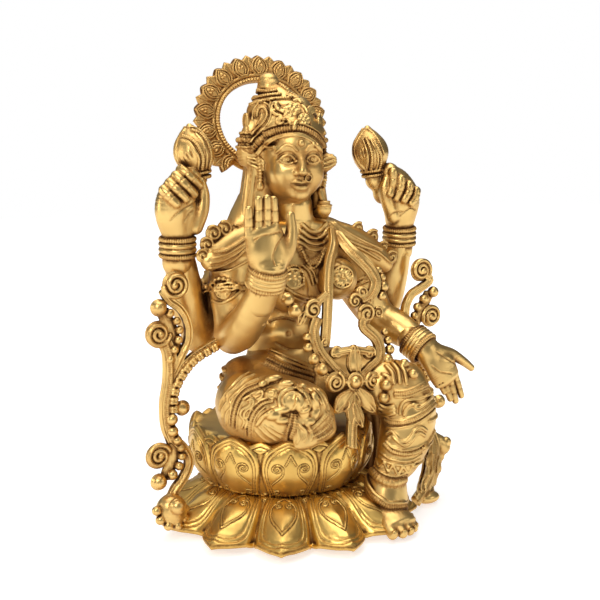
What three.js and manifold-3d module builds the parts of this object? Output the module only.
// Brass figure of a four-armed goddess, seated on a double lotus plinth in front of a petalled
// halo ring, with a free-standing garland and a scroll branch at each side.
// Millimetres, +Z up. The figure faces -Y and its right hand is toward -X. The origin is on the
// ground, on the axis of the upper lotus.

import * as THREE from 'three';
import { mergeVertices } from 'three/addons/utils/BufferGeometryUtils.js';
import Module from 'manifold-3d';

const wasm = await Module();
wasm.setup();

// Driving dimensions
const CLEARANCE = 0.3; // gap between two pieces that touch
const SEAT_HEIGHT = 66; // ground to the flat top of the upper lotus
const SEAT_RADIUS = 64; // upper lotus at its petal tips
const SEAT_PETALS = 10;
const SEAT_TIP_RISE = 3; // petal tips above the seat
const SEAT_TIP_NOTCH = 11; // depth of the dips between the upper petal tips
const WAIST_HEIGHT = 27; // where the two ranks of petals meet
const WAIST_RADIUS = 49;
const BASE_RADIUS = 89; // lower lotus at its petal tips
const BASE_PETALS = 12;
const BASE_NOTCH = 23; // depth of the gaps between the lower petal tips
const BASE_TIP_HEIGHT = 5; // top of a lower petal at its tip
const BASE_SHIFT_X = 1; // the lower lotus is cast a little off the axis of the upper one
const BASE_SHIFT_Y = -9;
const FIGURE_HEIGHT = 236; // seat to the top of the crown knob
const BANGLE_RADIUS = 11.8;
const BANGLE_LENGTH = 13;
const BANGLE_COUNT = 4;
const BUD_RADIUS = 13;
const BUD_HEIGHT = 36;
const HALO_WIDTH = 103;
const HALO_HEIGHT = 92;
const HALO_OPENING_WIDTH = 64;
const HALO_OPENING_HEIGHT = 54;
const HALO_THICKNESS = 6;
const HALO_PETALS = 18;
const HALO_LEAN = 8; // degrees, top backward
const STRAND_WIDTH = 6.5; // jewelled strand of the garland
const STRAND_THICKNESS = 4.5;
const STRAND_BEAD = 3; // radius of the beads along a strand's outer edge
const GARLAND_LIFT = 3.5; // forward of the body, which it touches at the shoulder and the lap
const STEM_WIDTH = 12; // stem of a side scroll
const STEM_THICKNESS = 7;
const BAND_WIDTH = 5.5; // narrow band of a side scroll
const VOLUTE_RADIUS = 10;
const SMALL_BEAD = 4.6; // up to this radius a bead has fewer facets

// The pose is laid out in parts of the figure's height, from the seat to the crown knob
const POSE_SEAT = 66;
const POSE_TOP = 302;
const PART = FIGURE_HEIGHT / (POSE_TOP - POSE_SEAT);

const X_AXIS = new THREE.Vector3(1, 0, 0);
const Y_AXIS = new THREE.Vector3(0, 1, 0);
const Z_AXIS = new THREE.Vector3(0, 0, 1);
const DEGREE = Math.PI / 180;
const OCTAHEDRON_FULLNESS = 1.15; // makes a small bead as full as a round one
const VOLUTE_TURN = 330; // degrees that a coil winds
const SQUARE = Math.SQRT1_2; // half diagonal of a square to its side

// Basic solids

function toSolid(geometry) {
  const bare = new THREE.BufferGeometry();
  bare.setAttribute('position', geometry.getAttribute('position'));
  bare.setIndex(geometry.index);
  const merged = mergeVertices(bare, 1e-4);
  return new wasm.Manifold(new wasm.Mesh({
    numProp: 3,
    vertProperties: new Float32Array(merged.getAttribute('position').array),
    triVerts: new Uint32Array(merged.index.array),
  }));
}

function toGeometry(solid) {
  const mesh = solid.getMesh();
  const geometry = new THREE.BufferGeometry();
  geometry.setAttribute('position', new THREE.BufferAttribute(mesh.vertProperties, 3));
  geometry.setIndex(new THREE.BufferAttribute(mesh.triVerts, 1));
  geometry.computeVertexNormals();
  return geometry;
}

function join(solids) {
  return solids.reduce((whole, next) => whole.add(next));
}

// The largest body, without the slivers that a cut leaves beside it
function mainBody(solid) {
  const bodies = solid.decompose();
  return bodies.reduce((best, body) => (body.volume() > best.volume() ? body : best));
}

function indexedSolid(points, triangles) {
  const geometry = new THREE.BufferGeometry().setFromPoints(points);
  geometry.setIndex(triangles);
  return toSolid(geometry);
}

// Rings of points, each counter-clockwise about the way forward, closed by a pole at either end
function ringedSolid(rings, firstPole, lastPole) {
  const sides = rings[0].length;
  const points = [firstPole, ...rings.flat(), lastPole];
  const last = points.length - 1;
  const triangles = [];
  for (let side = 0; side < sides; side += 1) {
    const next = (side + 1) % sides;
    triangles.push(0, 1 + next, 1 + side);
    for (let ring = 0; ring < rings.length - 1; ring += 1) {
      const here = 1 + ring * sides;
      const ahead = here + sides;
      triangles.push(here + side, here + next, ahead + next);
      triangles.push(here + side, ahead + next, ahead + side);
    }
    const end = last - sides;
    triangles.push(last, end + side, end + next);
  }
  return indexedSolid(points, triangles);
}

// Rings of points that close on themselves round a loop
function loopedSolid(rings) {
  const sides = rings[0].length;
  const points = rings.flat();
  const triangles = [];
  for (let ring = 0; ring < rings.length; ring += 1) {
    const here = ring * sides;
    const ahead = ((ring + 1) % rings.length) * sides;
    for (let side = 0; side < sides; side += 1) {
      const next = (side + 1) % sides;
      triangles.push(here + side, here + next, ahead + next);
      triangles.push(here + side, ahead + next, ahead + side);
    }
  }
  return indexedSolid(points, triangles);
}

function curveValue(before, from, to, after, share) {
  const slopeFrom = (to - before) / 2;
  const slopeTo = (after - from) / 2;
  const square = share * share;
  const cube = square * share;
  return from * (2 * cube - 3 * square + 1) + slopeFrom * (cube - 2 * square + share)
    + to * (3 * square - 2 * cube) + slopeTo * (cube - square);
}

// Stations between the given ones, on a smooth curve through them
function smooth(stations, steps) {
  const pick = (index) => stations[Math.min(Math.max(index, 0), stations.length - 1)];
  const result = [];
  for (let span = 0; span < stations.length - 1; span += 1) {
    for (let step = 0; step < steps; step += 1) {
      result.push(pick(span).map((_, axis) => curveValue(
        pick(span - 1)[axis],
        pick(span)[axis],
        pick(span + 1)[axis],
        pick(span + 2)[axis],
        step / steps,
      )));
    }
  }
  result.push(stations[stations.length - 1]);
  return result;
}

// A tube with rounded ends through stations [x, y, z, half width, half depth], in millimetres.
// The width lies along the `across` direction.
function tube(stations, { sides = 8, steps = 1, across = X_AXIS, grow = 0, blunt = 0.6 } = {}) {
  const path = smooth(stations, steps);
  const centres = path.map(([x, y, z]) => new THREE.Vector3(x, y, z));
  const ahead = centres.map((_, index) => {
    const from = centres[Math.max(index - 1, 0)];
    const to = centres[Math.min(index + 1, centres.length - 1)];
    return to.clone().sub(from).normalize();
  });
  const rings = centres.map((centre, index) => {
    const along = ahead[index];
    const wide = across.clone().addScaledVector(along, -across.dot(along)).normalize();
    const deep = along.clone().cross(wide);
    return Array.from({ length: sides }, (_, side) => {
      const angle = ((side + 0.5) / sides) * 2 * Math.PI;
      return centre.clone()
        .addScaledVector(wide, (path[index][3] + grow) * Math.cos(angle))
        .addScaledVector(deep, (path[index][4] + grow) * Math.sin(angle));
    });
  });
  const endCap = (index, sign) => centres[index].clone().addScaledVector(
    ahead[index],
    sign * (blunt * Math.min(path[index][3], path[index][4]) + grow),
  );
  return ringedSolid(rings, endCap(0, -1), endCap(centres.length - 1, 1));
}

function ball([x, y, z], [halfX, halfY, halfZ], { around = 8, down = 6, grow = 0 } = {}) {
  const geometry = new THREE.SphereGeometry(1, around, down);
  geometry.rotateX(Math.PI / 2);
  geometry.scale(halfX + grow, halfY + grow, halfZ + grow);
  geometry.translate(x, y, z);
  return toSolid(geometry);
}

function bead([x, y, z], radius, grow = 0) {
  const geometry = radius > SMALL_BEAD
    ? new THREE.IcosahedronGeometry(radius + grow, 0)
    : new THREE.OctahedronGeometry(radius * OCTAHEDRON_FULLNESS + grow, 0);
  geometry.translate(x, y, z);
  geometry.setIndex(Array.from({ length: geometry.getAttribute('position').count }, (_, i) => i));
  return toSolid(geometry);
}

// A pointed leaf from its foot to its tip
function leaf(foot, tip, halfWidth, halfDepth, { across = X_AXIS, grow = 0 } = {}) {
  const shape = [[0, 0.5], [0.45, 1], [0.85, 0.45]];
  const stations = shape.map(([share, size]) => [
    ...foot.map((value, axis) => value + (tip[axis] - value) * share),
    halfWidth * size,
    halfDepth * size,
  ]);
  return tube(stations, { sides: 4, across, grow, blunt: 1 });
}

// A coil in the plane of two directions, wound in to a button at its centre
function volute(centre, radius, width, { right = X_AXIS, start = 90, turn = 1 } = {}) {
  const up = Z_AXIS;
  const middle = new THREE.Vector3(...centre);
  const half = width / 2;
  const place = (reach, angle) => middle.clone()
    .addScaledVector(right, reach * Math.cos(angle * DEGREE))
    .addScaledVector(up, reach * Math.sin(angle * DEGREE));
  const count = 6;
  const inner = half * 1.6;
  const stations = Array.from({ length: count }, (_, index) => {
    const share = index / (count - 1);
    const reach = (radius - half) * (1 - share) + inner * share;
    const size = half * (1 - 0.3 * share);
    return [...place(reach, start + turn * VOLUTE_TURN * share).toArray(), size, size * 1.1];
  });
  const normal = right.clone().cross(up);
  const coil = tube(stations, { sides: 4, across: normal });
  const disc = new THREE.CylinderGeometry(radius - half, radius - half, half, 6);
  disc.applyQuaternion(new THREE.Quaternion().setFromUnitVectors(Y_AXIS, normal));
  disc.translate(...centre);
  return coil.add(toSolid(disc));
}

// The double lotus plinth

function petalShare(angle, count, phase) {
  const slot = 360 / count;
  const turned = ((angle - phase) % slot + slot) % slot;
  return Math.min(turned, slot - turned) / (slot / 2);
}

// Rows of [radius, height] given for each angle, from the top pole to the bottom pole, in columns
// that start at the tip of a petal
function petalledSolid(petals, phase, rowsAt, shift, topHeight, bottomHeight) {
  const rowCount = rowsAt(0).length;
  const columns = petals * COLUMNS_PER_PETAL;
  const angles = Array.from({ length: columns }, (_, column) => phase + (360 * column) / columns);
  const rings = Array.from({ length: rowCount }, (_, row) => angles.map((angle) => {
    const [radius, height] = rowsAt(angle)[row];
    return new THREE.Vector3(
      shift[0] + radius * Math.cos(-angle * DEGREE),
      shift[1] + radius * Math.sin(-angle * DEGREE),
      height,
    );
  }));
  const topPole = new THREE.Vector3(shift[0], shift[1], topHeight);
  const bottomPole = new THREE.Vector3(shift[0], shift[1], bottomHeight);
  return ringedSolid(rings, topPole, bottomPole);
}

const SEAT_PHASE = 112; // degrees round the axis, clockwise from +X, of one upper petal
const BASE_PHASE = 121; // and of one lower petal
const COLUMNS_PER_PETAL = 4;

function upperLotus(grow) {
  const rise = SEAT_HEIGHT - WAIST_HEIGHT;
  const rowsAt = (angle) => {
    const share = petalShare(angle, SEAT_PETALS, SEAT_PHASE);
    const groove = SEAT_RADIUS * 0.075 * share ** 3 - grow;
    const tip = SEAT_HEIGHT + SEAT_TIP_RISE - SEAT_TIP_NOTCH * share ** 1.5 + grow;
    return [
      [SEAT_RADIUS * 0.86, SEAT_HEIGHT + grow],
      [SEAT_RADIUS * 0.985 - groove, tip],
      [SEAT_RADIUS - groove * 1.2, WAIST_HEIGHT + rise * 0.72],
      [SEAT_RADIUS * 0.965 - groove * 1.4, WAIST_HEIGHT + rise * 0.45],
      [SEAT_RADIUS * 0.87 - groove, WAIST_HEIGHT + rise * 0.18],
      [WAIST_RADIUS + grow, WAIST_HEIGHT],
      [WAIST_RADIUS * 0.9, WAIST_HEIGHT - BASE_TIP_HEIGHT],
    ];
  };
  const bottomHeight = WAIST_HEIGHT - BASE_TIP_HEIGHT;
  return petalledSolid(SEAT_PETALS, SEAT_PHASE, rowsAt, [0, 0], SEAT_HEIGHT + grow, bottomHeight);
}

function lowerLotus(grow) {
  const reach = BASE_RADIUS - WAIST_RADIUS;
  const drop = WAIST_HEIGHT - BASE_TIP_HEIGHT;
  const rowsAt = (angle) => {
    const share = petalShare(angle, BASE_PETALS, BASE_PHASE);
    const edge = BASE_RADIUS - BASE_NOTCH * (1 - (1 - share) ** 0.6) + grow;
    const dip = drop * 0.22 * share ** 2 - grow;
    const span = edge - WAIST_RADIUS;
    return [
      [WAIST_RADIUS * 0.94, WAIST_HEIGHT + grow],
      [WAIST_RADIUS + span * 0.2, WAIST_HEIGHT - drop * 0.06 - dip * 0.6],
      [WAIST_RADIUS + span * 0.5, WAIST_HEIGHT - drop * 0.3 - dip],
      [WAIST_RADIUS + span * 0.78, WAIST_HEIGHT - drop * 0.64 - dip],
      [edge, BASE_TIP_HEIGHT * 0.8 + grow],
      [BASE_RADIUS - BASE_NOTCH - reach * 0.12, -grow],
    ];
  };
  const shift = [BASE_SHIFT_X, BASE_SHIFT_Y];
  return petalledSolid(BASE_PETALS, BASE_PHASE, rowsAt, shift, WAIST_HEIGHT + grow, -grow);
}

function plinthSolid(grow = 0) {
  return upperLotus(grow).add(lowerLotus(grow));
}

// A point over the lower lotus, so many degrees round and at a share of its tip radius
function overBase(angle, share, height) {
  return [
    BASE_SHIFT_X + BASE_RADIUS * share * Math.cos(angle * DEGREE),
    BASE_SHIFT_Y + BASE_RADIUS * share * Math.sin(angle * DEGREE),
    height,
  ];
}

// The figure

// A point of the pose, in millimetres
function at(x, y, z) {
  return [x * PART, y * PART, SEAT_HEIGHT + (z - POSE_SEAT) * PART];
}

function poseStations(stations) {
  return stations.map(([x, y, z, ...sizes]) => [...at(x, y, z), ...sizes.map((size) => size * PART)]);
}

const poseTube = (stations, options) => tube(poseStations(stations), options);
const poseBall = (x, y, z, sizes, options) => ball(at(x, y, z), sizes.map((size) => size * PART), options);
const poseBead = (x, y, z, radius, grow) => bead(at(x, y, z), radius * PART, grow);

function torso(grow) {
  const trunk = poseTube([
    [6, 9, 74, 35, 26],
    [5, 6, 90, 36, 26],
    [4, 4, 108, 30, 22],
    [3, 3, 124, 25, 18.5],
    [5, 2, 142, 25, 18.5],
    [9, 1, 160, 32, 20],
    [11, 1, 180, 38, 18],
    [12, 2, 191, 30, 14],
    [13, 1, 198, 17, 13],
    [12, -2, 214, 12, 12],
  ], { sides: 10, grow });
  return [
    trunk,
    poseBall(-4, -19, 160, [15, 12, 15], { around: 7, down: 5, grow }),
    poseBall(34, -19, 165, [15, 13, 15], { around: 7, down: 5, grow }),
    poseTube([[-24, -12, 104, 5, 5], [2, -22, 109, 5, 5], [30, -16, 102, 5, 5]], {
      sides: 6, across: Z_AXIS, grow,
    }),
  ];
}

const HEAD_YAW = 12; // degrees, turned toward the figure's right

function headPoint(forward, side, z) {
  const turn = HEAD_YAW * DEGREE;
  return [
    7 - forward * Math.sin(turn) + side * Math.cos(turn),
    -4 - forward * Math.cos(turn) - side * Math.sin(turn),
    z,
  ];
}

function head(grow) {
  const brow = headPoint(21, 0, 250);
  const noseTip = headPoint(26.5, 0, 239);
  return [
    poseBall(7, -4, 247, [20.5, 24, 30], { around: 9, down: 7, grow }),
    poseTube([[...brow, 1.6, 2], [...headPoint(24, 0, 244), 2.4, 3], [...noseTip, 3.8, 3.2]], {
      sides: 5, grow,
    }),
    poseBall(...headPoint(19, 0, 230), [6, 4.5, 2.6], { around: 6, down: 4, grow }),
    poseBall(...headPoint(15.5, 0, 223), [7.5, 5.5, 5], { around: 6, down: 4, grow }),
  ];
}

function hair(grow) {
  return [
    poseTube([
      [6, 12, 262, 22, 13],
      [7, 15, 242, 26, 15],
      [9, 17, 214, 28, 14],
      [10, 17, 190, 31, 11],
      [10, 14, 168, 24, 8],
    ], { grow }),
    poseTube([
      [27, -2, 236, 5, 8],
      [30, 2, 221, 6, 8],
      [37, 4, 209, 6, 7],
      [45, 4, 199, 6, 6],
    ], { sides: 6, grow }),
  ];
}

function earOrnament(side, grow) {
  const root = headPoint(-3, side * 15, 242);
  const tip = headPoint(-1, side * 34, 248);
  return leaf(at(...root), at(...tip), 8 * PART, 3.4 * PART, { across: Z_AXIS, grow });
}

function crown(grow) {
  const dome = poseTube([
    [7, 0, 252, 24.5, 26],
    [7, 3, 258, 26, 27],
    [5, 7, 269, 24.5, 23.5],
    [3, 11, 281, 17.5, 16],
    [2, 13.5, 288, 13, 12.5],
    [1, 14.5, 291, 9, 9],
    [0, 16.5, 301, 8.7, 8.7],
  ], { sides: 9, grow, blunt: 0.1 });
  const flowers = [
    [1, -14, 278, 6.5],
    [-8, -14, 280, 4.5],
    [-6, -15, 270, 4.5],
    [10, -16, 272, 4.5],
    [-16, 2, 277, 5],
    [17, -6, 277, 4.5],
  ];
  return [
    dome,
    ...flowers.map(([x, y, z, radius]) => poseBead(x, y, z, radius, grow)),
  ];
}

// A sleeve of bangles round a wrist, from one point of the pose toward another
function bangles(from, to, grow) {
  const start = new THREE.Vector3(...at(...from));
  const along = new THREE.Vector3(...at(...to)).sub(start).normalize();
  const rounding = BANGLE_LENGTH / BANGLE_COUNT / 2;
  const profile = [
    [0, BANGLE_RADIUS - rounding],
    [rounding, BANGLE_RADIUS],
    [BANGLE_LENGTH - rounding, BANGLE_RADIUS],
    [BANGLE_LENGTH, BANGLE_RADIUS - rounding],
  ];
  const stations = profile.map(([reach, radius]) => [
    ...start.clone().addScaledVector(along, reach).toArray(), radius, radius * 0.94,
  ]);
  return tube(stations, { sides: 7, grow, blunt: 0.02 });
}

// An overlapping-petalled bud on a short stem
function lotusBud(foot, tip, grow) {
  const base = new THREE.Vector3(...at(...foot));
  const along = new THREE.Vector3(...at(...tip)).sub(base).normalize();
  const profile = [[0, 0.5], [0.2, 0.58], [0.42, 1], [0.62, 0.9], [0.84, 0.45]];
  const stations = profile.map(([share, size]) => [
    ...base.clone().addScaledVector(along, share * BUD_HEIGHT).toArray(),
    BUD_RADIUS * size,
    BUD_RADIUS * size,
  ]);
  return tube(stations, { sides: 7, grow, blunt: 1.1 });
}

function finger(stations, grow) {
  return poseTube(stations, { sides: 4, grow, blunt: 0.8 });
}

// A closed hand round the stem of a bud, with a ridge for each of the four folded fingers
function holdingHand([x, y, z], thumb, grow) {
  const profile = [[-17, 0.65], [-6, 1]];
  for (let row = 1; row < 4; row += 1) {
    profile.push([-9 + row * 6, 0.86], [-6 + row * 6, 1.05]);
  }
  profile.push([18, 0.72]);
  const fist = profile.map(([lift, size]) => [x, y, z + lift, 14 * size, 11 * size]);
  return [
    poseTube(fist, { sides: 6, grow }),
    finger(thumb, grow),
  ];
}

function rearRightArm(grow) {
  return [
    poseTube([
      [-28, 12, 186, 13, 11],
      [-42, 16, 158, 12, 11],
      [-53, 18, 128, 10.5, 10.5],
    ], { sides: 6, grow }),
    poseTube([
      [-54, 18, 127, 10.5, 10.5],
      [-63, 12, 148, 12, 11],
      [-70, 6, 166, 9, 9],
      [-74.5, 1, 190, 8, 7],
    ], { sides: 6, grow }),
    bangles([-72.5, 3, 174], [-75.5, 0, 190], grow),
    ...holdingHand([-72, -3, 209], [
      [-64, -4, 208, 4.5, 4.5],
      [-60, -9, 218, 4, 4],
      [-66, -9, 229, 3, 3],
    ], grow),
    poseTube([[-64, -2, 212, 5, 4.5], [-61, 1, 234, 4.5, 4.5]], { sides: 4, grow }),
    lotusBud([-60.5, 1, 231], [-63, 2, 268], grow),
  ];
}

function rearLeftArm(grow) {
  return [
    poseTube([
      [44, 10, 186, 13, 11],
      [66, 10, 156, 12, 11],
      [86, 8, 126, 10.5, 10.5],
    ], { sides: 6, grow }),
    poseTube([
      [87, 8, 125, 10.5, 10.5],
      [92, 4, 146, 11.5, 11],
      [96, 0, 166, 9.5, 9],
      [97.5, -2, 190, 8, 7],
    ], { sides: 6, grow }),
    bangles([97, -1, 173], [98, -3, 190], grow),
    ...holdingHand([94, -6, 209], [
      [84, -8, 208, 4.5, 4.5],
      [79, -12, 218, 4, 4],
      [82, -10, 229, 3, 3],
    ], grow),
    poseTube([[86, -4, 210, 5, 4], [80, -3, 219, 4.5, 4], [74, 0, 234, 4.5, 4.5]], { sides: 4, grow }),
    lotusBud([73, 1, 231], [71.5, 2, 268], grow),
  ];
}

// The hand raised with its open palm forward
function frontRightArm(grow) {
  const fingers = [
    [-50.5, -58, 219],
    [-45.5, -60, 224],
    [-40.5, -61, 226],
    [-35.5, -61, 224],
  ].map(([x, y, z]) => finger([
    [x, -57, 200, 2.4, 3],
    [x, y, z - 2, 2.3, 2.7],
  ], grow));
  return [
    poseTube([
      [-36, 0, 186, 14, 13],
      [-40, -4, 162, 14, 13],
      [-40, -9, 132, 12.5, 12.5],
    ], { sides: 6, grow }),
    poseTube([
      [-40, -9, 130, 12.5, 12.5],
      [-41, -24, 138, 12.5, 12.5],
      [-40, -40, 151, 11, 10.5],
      [-39, -52, 166, 9.5, 8],
    ], { sides: 6, grow }),
    bangles([-39, -49.5, 159], [-38.5, -57, 172], grow),
    poseTube([
      [-38.5, -57, 170, 9, 6.5],
      [-39, -58, 184, 13.5, 6.5],
      [-42, -58, 203, 12.5, 5],
    ], { sides: 6, grow }),
    ...fingers,
    finger([[-30, -58, 186, 5, 5], [-24, -58, 199, 3.8, 4], [-22, -57, 212, 2.6, 2.8]], grow),
    poseBead(-50, -13, 161, 7, grow),
  ];
}

// The hand lowered with its open palm forward and the fingers down
function frontLeftArm(grow) {
  const fingers = [
    [100, -52, 84],
    [105.5, -53, 79],
    [111, -53, 77],
    [116.5, -52, 80],
  ].map(([x, y, z]) => finger([
    [x * 0.9 + 6, -49, 100, 2.6, 3],
    [x, y, z + 2, 2.3, 2.6],
  ], grow));
  return [
    poseTube([
      [52, 0, 186, 14, 13],
      [64, -2, 160, 13.5, 13],
      [76, -6, 133, 12.5, 12.5],
    ], { sides: 6, grow }),
    poseTube([
      [76, -6, 133, 12.5, 12.5],
      [83, -20, 127, 12, 12],
      [91, -40, 117, 9.5, 8.5],
    ], { sides: 6, grow }),
    bangles([86.5, -33, 121], [92, -44, 113], grow),
    poseTube([
      [91, -42, 117, 9, 7],
      [97, -47, 108, 12.5, 6.5],
      [104, -51, 96, 11.5, 5],
    ], { sides: 6, grow }),
    ...fingers,
    finger([[98, -46, 117, 5, 5], [113, -46, 110, 3.8, 4], [129, -48, 98.5, 2.6, 2.8]], grow),
  ];
}

// The leg folded on the seat, under its ribbed cloth
function foldedLeg(grow) {
  return [
    poseTube([[4, 2, 92, 26, 25], [-18, -14, 91, 26, 26], [-38, -28, 88, 22, 24]], {
      sides: 8, across: Z_AXIS, grow, blunt: 0.8,
    }),
    poseTube([
      [-43, -28, 88, 22, 18],
      [-30, -38, 86, 24, 20],
      [-12, -46, 84, 22, 19],
      [2, -50, 82, 20, 16],
      [10, -52, 78, 14, 12],
    ], { sides: 8, across: Z_AXIS, grow, blunt: 0.8 }),
  ];
}

// The knotted end of the cloth, lying over the folded leg
function knottedCloth(grow) {
  return [
    poseBall(-8, -60, 92, [11, 9, 11], { around: 7, down: 5, grow }),
    poseBall(-24, -52, 104, [8, 7, 5], { around: 6, down: 4, grow }),
    poseTube([[-16, -62, 82, 9, 7], [-13, -66, 69, 11, 6]], { sides: 6, grow }),
    poseTube([[0, -62, 84, 10, 7], [10, -64, 70, 12, 7]], { sides: 6, grow }),
  ];
}

function pendantLeg(grow) {
  return [
    poseTube([[22, 0, 92, 24, 22], [42, -24, 94, 22, 20], [58, -44, 92, 20, 20], [66, -52, 88, 18, 19]], {
      sides: 8, across: Z_AXIS, grow,
    }),
    poseTube([
      [66, -52, 94, 18, 17],
      [68, -57, 78, 20, 18],
      [64, -60, 62, 19, 17],
      [57, -62, 48, 17.5, 15],
      [52, -62, 36, 13.5, 12.5],
      [49, -62, 26, 12, 12],
    ], { sides: 8, grow }),
    poseBead(66, -66, 101, 5.5, grow),
    poseBead(46, -64, 97, 5.5, grow),
  ];
}

const TOE_SPACING = 4.3;

// The foot of the pendant leg, on a petal of the lower lotus with its toes over the tip
function restingFoot(grow) {
  const heel = overBase(-52, 0.72, BASE_TIP_HEIGHT + 13);
  const forefoot = overBase(-60, 0.98, BASE_TIP_HEIGHT + 5);
  const sole = tube([
    [...at(49, -60, 28), 11, 10],
    [...heel, 11, 8],
    [...overBase(-56, 0.86, BASE_TIP_HEIGHT + 9), 11.5, 7],
    [...forefoot, 12.5, 4.5],
  ], { grow });
  const toes = [-2, -1, 0, 1, 2].map((place) => {
    const reach = TOE_SPACING - Math.abs(place) * 1.1 + place * 0.5;
    const centre = [forefoot[0] + place * TOE_SPACING, forefoot[1] - reach, BASE_TIP_HEIGHT + 3.4];
    return ball(centre, [2.2, 4.5, 3], { around: 6, down: 2, grow });
  });
  const anklet = poseTube([
    [53, -62, 39, 15.5, 14.5],
    [49, -62, 27, 14, 13.5],
  ], { grow, blunt: 0.05 });
  return [sole, ...toes, anklet];
}

// The cape over each shoulder, with a beaded and scalloped upper edge
function capes(grow) {
  const left = poseTube([
    [24, -6, 199, 6, 6],
    [42, -8, 193, 10, 9],
    [58, -11, 184, 12, 9],
    [72, -13, 175, 9, 7],
  ], { sides: 8, across: Z_AXIS, grow });
  const right = poseTube([
    [0, -7, 198, 6, 6],
    [-18, -8, 196, 9, 8],
    [-36, -9, 190, 11, 9],
    [-52, -10, 183, 9, 7],
  ], { sides: 8, across: Z_AXIS, grow });
  const scallops = [
    [57, -9, 195, 5],
    [68, -10, 188, 5],
    [77, -12, 178, 5.5],
    [-38, -6, 199, 5],
    [-49, -8, 194, 5],
    [-58, -10, 185, 5.5],
  ];
  return [left, right, ...scallops.map(([x, y, z, radius]) => poseBead(x, y, z, radius, grow))];
}

function figureSolid(grow = 0) {
  return join([
    ...torso(grow),
    ...head(grow),
    ...hair(grow),
    earOrnament(-1, grow),
    earOrnament(1, grow),
    ...crown(grow),
    ...rearRightArm(grow),
    ...rearLeftArm(grow),
    ...frontRightArm(grow),
    ...frontLeftArm(grow),
    ...foldedLeg(grow),
    ...knottedCloth(grow),
    ...pendantLeg(grow),
    ...restingFoot(grow),
    ...capes(grow),
  ]);
}

// The halo ring, a band of upright petals round a cord, standing behind the crown

const HALO_CENTRE = [2, 31, 271];
const HALO_BARE = 38; // degrees to either side of the bottom without petals
const HALO_PETAL_DIP = 0.22; // between two petals, as a share of the ring's width
const HALO_BARE_EDGE = 0.55;

function haloSolid() {
  const centre = new THREE.Vector3(...at(...HALO_CENTRE));
  const up = new THREE.Vector3(0, Math.sin(HALO_LEAN * DEGREE), Math.cos(HALO_LEAN * DEGREE));
  const back = new THREE.Vector3(0, Math.cos(HALO_LEAN * DEGREE), -Math.sin(HALO_LEAN * DEGREE));
  const half = HALO_THICKNESS / 2;
  const columns = HALO_PETALS * COLUMNS_PER_PETAL;
  const rings = Array.from({ length: columns }, (_, column) => {
    const angle = 90 + (360 * column) / columns;
    const share = petalShare(angle, HALO_PETALS, 90);
    const fromBottom = Math.abs(((angle + 90) % 360 + 540) % 360 - 180);
    const bare = fromBottom < HALO_BARE;
    const edge = bare ? HALO_BARE_EDGE : 1 - HALO_PETAL_DIP * share;
    const bulge = bare ? 0 : (half * (1 - share)) / 2;
    const section = [
      [0, -half],
      [0.2, -half * 1.4],
      [(edge + 0.4) / 2, -half - bulge],
      [edge, -half * 0.2],
      [0.1, half],
    ];
    return section.map(([reach, depth]) => {
      const halfWidth = HALO_OPENING_WIDTH / 2 + (reach * (HALO_WIDTH - HALO_OPENING_WIDTH)) / 2;
      const halfHeight = HALO_OPENING_HEIGHT / 2 + (reach * (HALO_HEIGHT - HALO_OPENING_HEIGHT)) / 2;
      return centre.clone()
        .addScaledVector(X_AXIS, halfWidth * Math.cos(angle * DEGREE))
        .addScaledVector(up, halfHeight * Math.sin(angle * DEGREE))
        .addScaledVector(back, depth);
    });
  });
  return loopedSolid(rings);
}

// The garland: two jewelled strands from the left shoulder, a hanging loop and a palmette

const LEAF_HALF_DEPTH = 2.6;

function lifted(x, y, z) {
  const [sideways, forward, height] = at(x, y, z);
  return [sideways, forward - GARLAND_LIFT, height];
}

function strand(points) {
  const section = [STRAND_WIDTH * SQUARE, STRAND_THICKNESS * SQUARE];
  return tube(points.map((point) => [...lifted(...point), ...section]), { sides: 4 });
}

// Beads set along the outer edge of a strand, between two shares of its length
function strandBeads(points, side, count, fromShare, toShare) {
  const path = new THREE.CatmullRomCurve3(points.map((point) => new THREE.Vector3(...lifted(...point))));
  const forward = new THREE.Vector3(0, -1, 0);
  const reach = STRAND_WIDTH / 2 + STRAND_BEAD * 0.4;
  return Array.from({ length: count }, (_, index) => {
    const share = fromShare + ((toShare - fromShare) * index) / (count - 1);
    const outward = path.getTangentAt(share).cross(forward).normalize();
    const centre = path.getPointAt(share).addScaledVector(outward, side * reach);
    return bead(centre.toArray(), STRAND_BEAD);
  });
}

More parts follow.
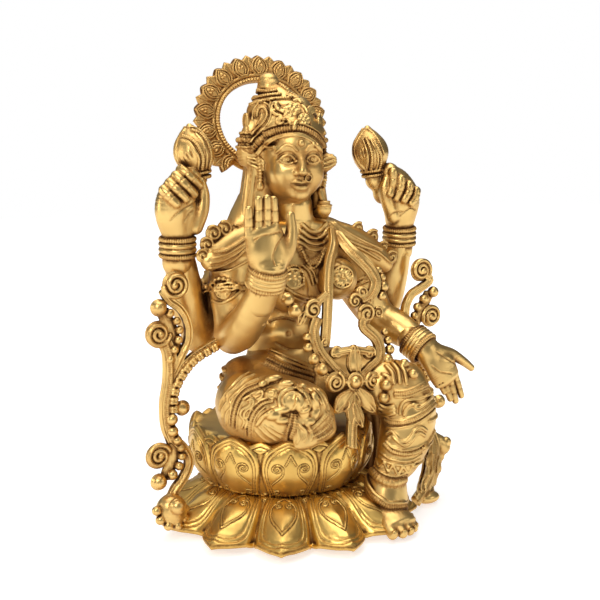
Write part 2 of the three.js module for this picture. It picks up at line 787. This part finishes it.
function garlandSolid() {
  const innerStrand = [
    [33, -14, 197],
    [27, -24, 189],
    [21, -32, 177],
    [17, -38, 160],
    [15, -41, 135],
    [10, -42, 128],
  ];
  const outerStrand = [
    [33, -16, 195],
    [36, -26, 185],
    [42, -32, 179],
    [49, -34, 171],
    [52, -36, 163],
    [48, -37, 156],
    [40, -38, 152],
  ];
  const leftLoop = [
    [5, -38, 148],
    [3, -41, 134],
    [4, -44, 122],
    [13, -47, 111],
    [20, -49, 104],
  ];
  const rightLoop = [
    [44, -37, 143],
    [40, -39, 136],
    [50, -42, 126],
    [50, -45, 113],
    [40, -47, 107],
    [33, -48, 103],
  ];
  const leftLink = [[16, -38, 160], [10, -38, 153], [5, -38, 149]];
  const rightLink = [[48, -37, 156], [47, -37, 149], [44, -37, 142]];
  const strands = [innerStrand, outerStrand, leftLoop, rightLoop, leftLink, rightLink];
  const coils = [
    [5, -38, 149, 6],
    [40, -36, 158, 4],
    [35, -37, 153, 4.5],
    [45, -37, 144, 5.5],
    [16, -44, 121, 4.5],
    [41, -44, 118, 5],
    [12, -49, 102, 7],
    [41, -49, 99, 6.5],
    [27, -50, 101, 5.5],
  ];
  const beads = [
    ...strandBeads(outerStrand, 1, 4, 0.52, 0.9),
    ...strandBeads(leftLoop, -1, 2, 0.35, 0.7),
    ...strandBeads(rightLoop, 1, 2, 0.35, 0.6),
    bead(lifted(-11, -37, 153), 3.5),
  ];
  const leaves = [
    [[1, -38, 149], [-10, -37, 152], 3.5],
    [[28, -46, 123], [28, -47, 103], 5.5],
    [[25, -51, 96], [20, -59, 72], 6.5],
    [[22, -51, 94], [10, -55, 83], 5.5],
    [[27, -51, 97], [41, -54, 80], 5.5],
  ];
  const crossing = tube([
    [...lifted(9, -49, 103), 3.5, 2.6],
    [...lifted(27, -50, 101), 3.5, 2.6],
    [...lifted(43, -49, 100), 3.5, 2.6],
  ], { sides: 4, across: Z_AXIS });
  const inner = tube([
    [...lifted(12, -44, 120), 2.6, 2.2],
    [...lifted(28, -46, 122), 2.6, 2.2],
    [...lifted(45, -44, 118), 2.6, 2.2],
  ], { sides: 4, across: Z_AXIS });
  const tail = tube([
    [...lifted(21, -57, 78), 4, 3],
    [...lifted(17, -61, 68), 4.5, 3],
    [...lifted(15, -65, 62), 3.5, 2.5],
  ], { sides: 4 });
  return join([
    ...strands.map((points) => strand(points)),
    ...coils.map(([x, y, z, radius]) => {
      const disc = new THREE.CylinderGeometry(radius * PART, radius * PART, STRAND_THICKNESS, 7);
      disc.translate(...lifted(x, y, z));
      return toSolid(disc);
    }),
    ...beads,
    ...leaves.map(([foot, tip, halfWidth]) => (
      leaf(lifted(...foot), lifted(...tip), halfWidth * PART, LEAF_HALF_DEPTH * PART)
    )),
    crossing,
    inner,
    tail,
  ]);
}

// The scroll branches at the sides, each a stem from the lower lotus to a pair of volutes

function scrollTube(points, width, depth) {
  return tube(points.map((point) => [...point, width * SQUARE, depth * SQUARE]), { sides: 4 });
}

// The thin web that carries the beads between a band and its volute
function scrollWeb(points) {
  return scrollTube(points, BAND_WIDTH * 2, STEM_THICKNESS / 2);
}

function rightScrollSolid() {
  const plane = -6;
  const budCentre = overBase(178, 0.955, BASE_TIP_HEIGHT + 12.5);
  const stem = scrollTube([
    at(-82, plane, 122),
    at(-84, plane, 105),
    at(-86, plane, 90),
    at(-86, plane, 75),
    at(-82, plane, 64),
  ], STEM_WIDTH, STEM_THICKNESS);
  const lowerBand = scrollTube([
    at(-82, plane, 65),
    at(-75, plane, 57),
    at(-72, plane, 49),
    at(-76, plane, 39),
    at(-83, plane, 32),
    budCentre,
  ], BAND_WIDTH * 1.3, STEM_THICKNESS);
  const upperBand = scrollTube([
    at(-88.5, plane, 164),
    at(-84, plane, 157),
    at(-76, plane, 151),
    at(-71, plane, 140),
    at(-71, plane, 130),
    at(-76, plane, 121),
    at(-82, plane, 110),
  ], BAND_WIDTH, STEM_THICKNESS);
  const branch = scrollTube([
    at(-83, plane, 100),
    at(-76, plane, 110),
    at(-68, plane, 117),
    at(-60, plane, 122),
    at(-50, plane - 1, 127),
  ], BAND_WIDTH * 1.5, STEM_THICKNESS);
  const volutes = [
    [at(-79, plane, 167), 190],
    [at(-91.5, plane, 136), -20],
    [at(-93, plane, 55.5), 0],
  ].map(([centre, start]) => volute(centre, VOLUTE_RADIUS, BAND_WIDTH * 0.9, { start }));
  const beads = [
    [-81, 147, 3.5],
    [-78, 136, 3.5],
    [-90, 152.5, 5.4],
    [-77, 85, 5.6],
    [-79, 50, 3.5],
    [-93.5, 38.5, 5.2],
  ];
  return join([
    stem,
    lowerBand,
    upperBand,
    branch,
    ...volutes,
    ...beads.map(([x, z, radius]) => poseBead(x, plane - 1.5, z, radius)),
    scrollWeb([at(-82, plane, 131), at(-84, plane, 142), at(-88, plane, 153)]),
    scrollWeb([at(-86, plane, 62), at(-84, plane, 50), at(-88, plane, 38)]),
    ball(budCentre, [10.5, 9, 12], { around: 9 }),
    bead([budCentre[0] + 4, budCentre[1] - 7, budCentre[2] + 1], 5.5),
  ]);
}

function leftScrollSolid() {
  const plane = -18;
  const foot = overBase(-25, 0.96, BASE_TIP_HEIGHT + 2);
  const upperBand = scrollTube([
    at(109, plane, 163),
    at(111, plane, 159),
    at(104, plane, 154),
    at(97, plane, 150),
    at(92, plane, 143),
    at(91, plane, 136),
    at(92, plane, 126),
    at(96, plane, 116),
  ], BAND_WIDTH, STEM_THICKNESS);
  const stem = scrollTube([
    at(94, plane + 1, 120),
    at(99, plane + 2, 110),
    at(106, plane + 4, 100),
    at(114, plane + 4, 87),
    at(120, plane + 2, 68),
    at(122, plane, 50),
    at(119, plane - 6, 36),
    at(108, plane - 13, 25),
    at(100, plane - 19, 15),
    foot,
  ], STEM_WIDTH * 0.8, STEM_THICKNESS);
  const link = scrollTube([
    at(84, plane + 2, 126),
    at(92, plane + 1, 122),
    at(98, plane + 1, 114),
  ], STEM_WIDTH * 0.8, STEM_THICKNESS);
  const turned = new THREE.Vector3(0.45, 0.893, 0);
  return join([
    upperBand,
    stem,
    link,
    volute(at(104, plane, 167), VOLUTE_RADIUS * 0.93, BAND_WIDTH * 0.9, { start: -30 }),
    volute(at(113.5, plane, 133), VOLUTE_RADIUS * 0.93, BAND_WIDTH * 0.9, { start: 200, turn: -1 }),
    volute(at(122, plane - 4, 36), VOLUTE_RADIUS * 0.8, BAND_WIDTH * 0.9, { right: turned }),
    ...[
      [115, 150, 4],
      [106, 146, 3.8],
      [100, 141, 3.4],
      [98.5, 134.5, 3],
    ].map(([x, z, radius]) => poseBead(x, plane - 1.5, z, radius)),
    poseBead(127, -15, 68, 5.6),
    poseBead(118, -27, 27, 5),
    poseBead(113, -33, 17, 4.5),
    scrollWeb([at(98, plane, 124), at(103, plane, 134), at(112, plane, 150)]),
  ]);
}

// The assembly

function brass(colour, roughness) {
  return new THREE.MeshStandardMaterial({ color: colour, roughness, metalness: 1 });
}

const grownPlinth = plinthSolid(CLEARANCE);
const grownFigure = figureSolid(CLEARANCE);

const goddess = new THREE.Group();

function addPiece(name, solid, material) {
  const mesh = new THREE.Mesh(toGeometry(mainBody(solid)), material);
  mesh.name = name;
  goddess.add(mesh);
}

function fitted(solid) {
  return solid.subtract(grownFigure).subtract(grownPlinth);
}

addPiece('lotus_plinth', plinthSolid(), brass('#c39a55', 0.36));
addPiece('goddess_figure', figureSolid().subtract(grownPlinth), brass('#cfa55e', 0.3));
addPiece('halo_ring', haloSolid().subtract(grownFigure), brass('#c79d55', 0.36));
addPiece('garland', fitted(garlandSolid()), brass('#d2ab64', 0.32));
addPiece('side_scroll_right', fitted(rightScrollSolid()), brass('#c79d55', 0.36));
addPiece('side_scroll_left', fitted(leftScrollSolid()), brass('#c79d55', 0.36));

export default goddess;
